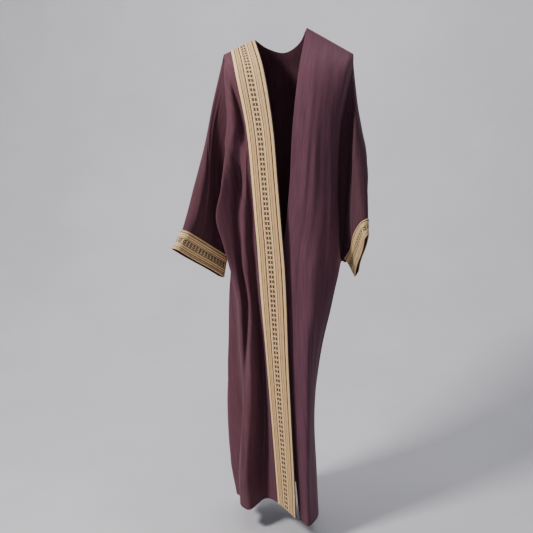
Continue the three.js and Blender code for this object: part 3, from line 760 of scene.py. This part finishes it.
# places across a band and the height of its strands there
def strandProfile(strands, width):
    places, heights = [], []
    start = 0.0
    for end, height, tint in strands:
        wide = (end - start) / 100 * width
        if height < 0.3:
            count = 2
        elif tint == edgeStrand:
            count = 9
        else:
            count = 8 if wide > 8 else 5
        for k in range(count):
            at = (k + 0.5) / count
            places.append((start + (end - start) * at) / 100)
            crown = math.sqrt(max(0.0, 1 - (2 * at - 1) ** 2)) if height >= 0.5 else 1.0
            heights.append(height * crown)
        start = end
    return np.array([0.0] + places + [1.0]), np.array([0.05] + heights + [0.05])


# rows of points at even shares of each row's own length
def atShares(grid, shares):
    lengths = runLengths(grid, 1)
    rows = []
    for row, length in zip(grid, lengths):
        rows.append(np.stack([np.interp(shares * length[-1], length, row[:, k]) for k in range(3)], axis=-1))
    return np.array(rows)


def bandShell(name, points, out, heights, uvAcross, uvAlong, closedAlong=False):
    top = points + out * (bandGap + bandGround + heights)[None, :, None]
    under = points + out * bandGap
    few = np.unique(np.linspace(0, points.shape[1] - 1, underPoints).round().astype(int))
    loop = np.concatenate([top, under[:, few[::-1]], top[:, :1]], axis=1)
    acrossAll = np.concatenate([uvAcross, uvAcross[:, few[::-1]], uvAcross[:, :1]], axis=1)
    alongAll = np.concatenate([uvAlong, uvAlong[:, few[::-1]], uvAlong[:, :1]], axis=1)
    uv = np.stack([acrossAll, alongAll], axis=-1) * mm
    piece = gridMesh(name, loop * mm, uv, True)
    mesh = bmesh.new()
    mesh.from_mesh(piece.data)
    if closedAlong:
        bmesh.ops.remove_doubles(mesh, verts=mesh.verts, dist=1e-6)
    else:
        bmesh.ops.holes_fill(mesh, edges=[edge for edge in mesh.edges if edge.is_boundary], sides=0)
    bmesh.ops.recalc_face_normals(mesh, faces=mesh.faces)
    mesh.to_mesh(piece.data)
    mesh.free()
    return piece


# the faces that look at the cloth have the underside's brown
def paintUnder(piece, points, out):
    flat, normal = (points * mm).reshape(-1, 3), out.reshape(-1, 3)
    tree = KDTree(len(flat))
    for i, point in enumerate(flat):
        tree.insert(point, i)
    tree.balance()
    for face in piece.data.polygons:
        _, i, _ = tree.find(face.center)
        if np.dot(normal[i], np.array(face.normal)) < -0.3:
            face.material_index = 1


frontBand = {
    "node": "braid_front", "slot": "braid_front", "width": 84.0, "pitch": 13.5, "flat": (0.085, 1.45),
    "motif": {
        "lane": (0.400, 0.592), "rope": (0.896, 0.99), "ropeToo": 0.0, "tall": 0.32, "arm": 0.0009, "pairs": True,
    },
}
cuffBand = {
    "width": 69.0, "pitch": 12.7,
    "motif": {
        "lane": (0.400, 0.610), "rope": (0.875, 1.0), "ropeToo": 0.082, "tall": 0.37, "arm": 0.0006, "pairs": False,
    },
}


def makeFrontBand(underside):
    shares, heights = strandProfile(bandStrands, frontBand["width"])
    us = list(np.linspace(1, 0, 41))
    rows = rowPoints(rightFront)
    lengths = [np.linalg.norm(b[0] - a[0]) for a, b in zip(rows, rows[1:])]
    vs = evenly(lengths, 4.0, 2, nearEnd=(1,))
    coarse = panelGrid(rightFront, us, vs)
    points = atShares(coarse, shares)
    out = normalsOf(points, -1)
    across = np.repeat(shares[None, :] * frontBand["width"], len(vs), axis=0)
    along = np.repeat(runLengths(points, 0)[:, [len(shares) // 2]], len(shares), axis=1)
    piece = bandShell("band_front", points, out, heights, across, along)
    piece.data.materials.append(bandMaterial(
        "goldBandFront", bandStrands, frontBand["width"] * mm, frontBand["pitch"] * mm, frontBand["motif"]))
    piece.data.materials.append(underside)
    paintUnder(piece, points, out)
    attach(piece, "root")
    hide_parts(frontBand["node"])
    print("band_front", len(vs), "rows", len(shares), "across, length", round(float(along.max())))


def makeCuffBand(sleeve, seams, slot, underside):
    shares, heights = strandProfile(cuffStrands, cuffBand["width"])
    coarse = sleeveGrid(sleeve, *seams, list(np.linspace(cuffStart, 4, 25)), list(np.linspace(0, 2, 301)))
    swung = np.swapaxes(coarse, 0, 1)  # a row for each place round the cuff
    points = atShares(swung, shares)
    out = normalsOf(np.swapaxes(points, 0, 1), -sleeve["side"], True)
    out = np.swapaxes(out, 0, 1)
    points[-1] = points[0]
    out[-1] = out[0]
    across = np.repeat(shares[None, :] * cuffBand["width"], len(points), axis=0)
    along = np.repeat(runLengths(points, 0)[:, [len(shares) // 2]], len(shares), axis=1)
    turns = max(1, round(float(along.max()) / cuffBand["pitch"]))
    along = along * (turns * cuffBand["pitch"] / along.max())
    piece = bandShell("band_" + slot, points, out, heights, across, along, True)
    piece.data.materials.append(bandMaterial(
        "gold_" + slot, cuffStrands, cuffBand["width"] * mm, cuffBand["pitch"] * mm, cuffBand["motif"]))
    piece.data.materials.append(underside)
    paintUnder(piece, points, out)
    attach(piece, "root")
    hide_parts(slot)


for panel in (rightFront, leftFront, back):
    makePanel(panel)
rightSeams = makeSleeve(rightSleeve, rightFront, 9, 0)
leftSeams = makeSleeve(leftSleeve, leftFront, 6, 8)
underside = underMaterial()
makeFrontBand(underside)
makeCuffBand(rightSleeve, rightSeams, "braid_cuff_right", underside)
makeCuffBand(leftSleeve, leftSeams, "braid_cuff_left", underside)
print("garment done")

studio = {
    "floor": -1.45, "curveFrom": 0.35, "curve": 1.9, "wide": 12, "forward": 6, "up": 4,
    "tint": (0.64, 0.64, 0.67), "aim": (0, 0, -0.7), "world": 0.17, "worldTint": (0.80, 0.82, 0.88),
    "key": {"place": (-1.8, -2.0, 1.5), "size": 0.6, "power": 134, "tint": (1.0, 0.95, 0.93)},
    "fill": {"place": (0.7, -3.0, 0.3), "size": 1.6, "power": 10, "tint": (0.82, 0.84, 1.0)},
    "behind": {
        "place": (0.0, 0.6, 1.9), "size": 2.6, "power": 50, "tint": (0.97, 0.97, 1.0), "aim": (0, 1.3, -1.4),
    },
}


def backdrop():
    mesh = bmesh.new()
    side = -studio["wide"] / 2
    turn = mesh.verts.new((side, studio["curveFrom"], studio["floor"]))
    bmesh.ops.spin(mesh, geom=[turn], cent=(side, studio["curveFrom"], studio["floor"] + studio["curve"]),
                   axis=(1, 0, 0), angle=math.pi / 2, steps=40)
    ends = [vert for vert in mesh.verts if len(vert.link_edges) == 1]
    ends.sort(key=lambda vert: vert.co.z)
    for end, move in ((ends[0], (0, -studio["forward"], 0)), (ends[-1], (0, 0, studio["up"]))):
        more = bmesh.ops.extrude_vert_indiv(mesh, verts=[end])
        bmesh.ops.translate(mesh, verts=more["verts"], vec=move)
    spread = bmesh.ops.extrude_edge_only(mesh, edges=mesh.edges[:])
    moved = [item for item in spread["geom"] if isinstance(item, bmesh.types.BMVert)]
    bmesh.ops.translate(mesh, verts=moved, vec=(studio["wide"], 0, 0))
    for face in mesh.faces:
        face.smooth = True
    sheet = finished(mesh, "backdrop")
    material, start, shader = newMaterial("backdropPaper", {"Roughness": 0.95, "Specular IOR Level": 0.1})
    place = start.make("TexCoord", {}, {}, 3)
    cloudy = start.make("TexNoise", {}, {"Vector": place, "Scale": 2.2, "Detail": 5.0, "Roughness": 0.6})
    paper = cloudy.upTo(0.3, 0.75).mixed(scaled(studio["tint"], 0.96), scaled(studio["tint"], 1.04))
    feed(paper, shader, "Base Color")
    sheet.data.materials.append(material)


def areaLight(name, settings):
    data = bpy.data.lights.new(name, "AREA")
    data.energy = settings["power"]
    data.size = settings["size"]
    data.color = settings["tint"]
    lamp = bpy.data.objects.new(name, data)
    bpy.context.collection.objects.link(lamp)
    lamp.location = settings["place"]
    aim = Vector(settings.get("aim", studio["aim"])) - lamp.location
    lamp.rotation_euler = aim.to_track_quat("-Z", "Y").to_euler()


backdrop()
for name in ("key", "fill", "behind"):
    areaLight(name, studio[name])
world = bpy.data.worlds.new("studio")
bpy.context.scene.world = world
world.use_nodes = True
world.node_tree.nodes["Background"].inputs["Color"].default_value = colour(*studio["worldTint"])
world.node_tree.nodes["Background"].inputs["Strength"].default_value = studio["world"]

shot = {"target": (-0.056, -0.020, -0.671), "distance": 2.400, "azimuth": 12.0, "elevation": 9.0, "lens": 55.86}
around, above = math.radians(shot["azimuth"]), math.radians(shot["elevation"])
towards = Vector((math.sin(around) * math.cos(above), -math.cos(around) * math.cos(above), math.sin(above)))
camera = bpy.data.objects.new("camera", bpy.data.cameras.new("camera"))
camera.data.lens = shot["lens"]
camera.data.sensor_width = 36
camera.location = Vector(shot["target"]) + towards * shot["distance"]
camera.rotation_euler = (-towards).to_track_quat("-Z", "Y").to_euler()
bpy.context.collection.objects.link(camera)
bpy.context.scene.camera = camera
print("studio done")
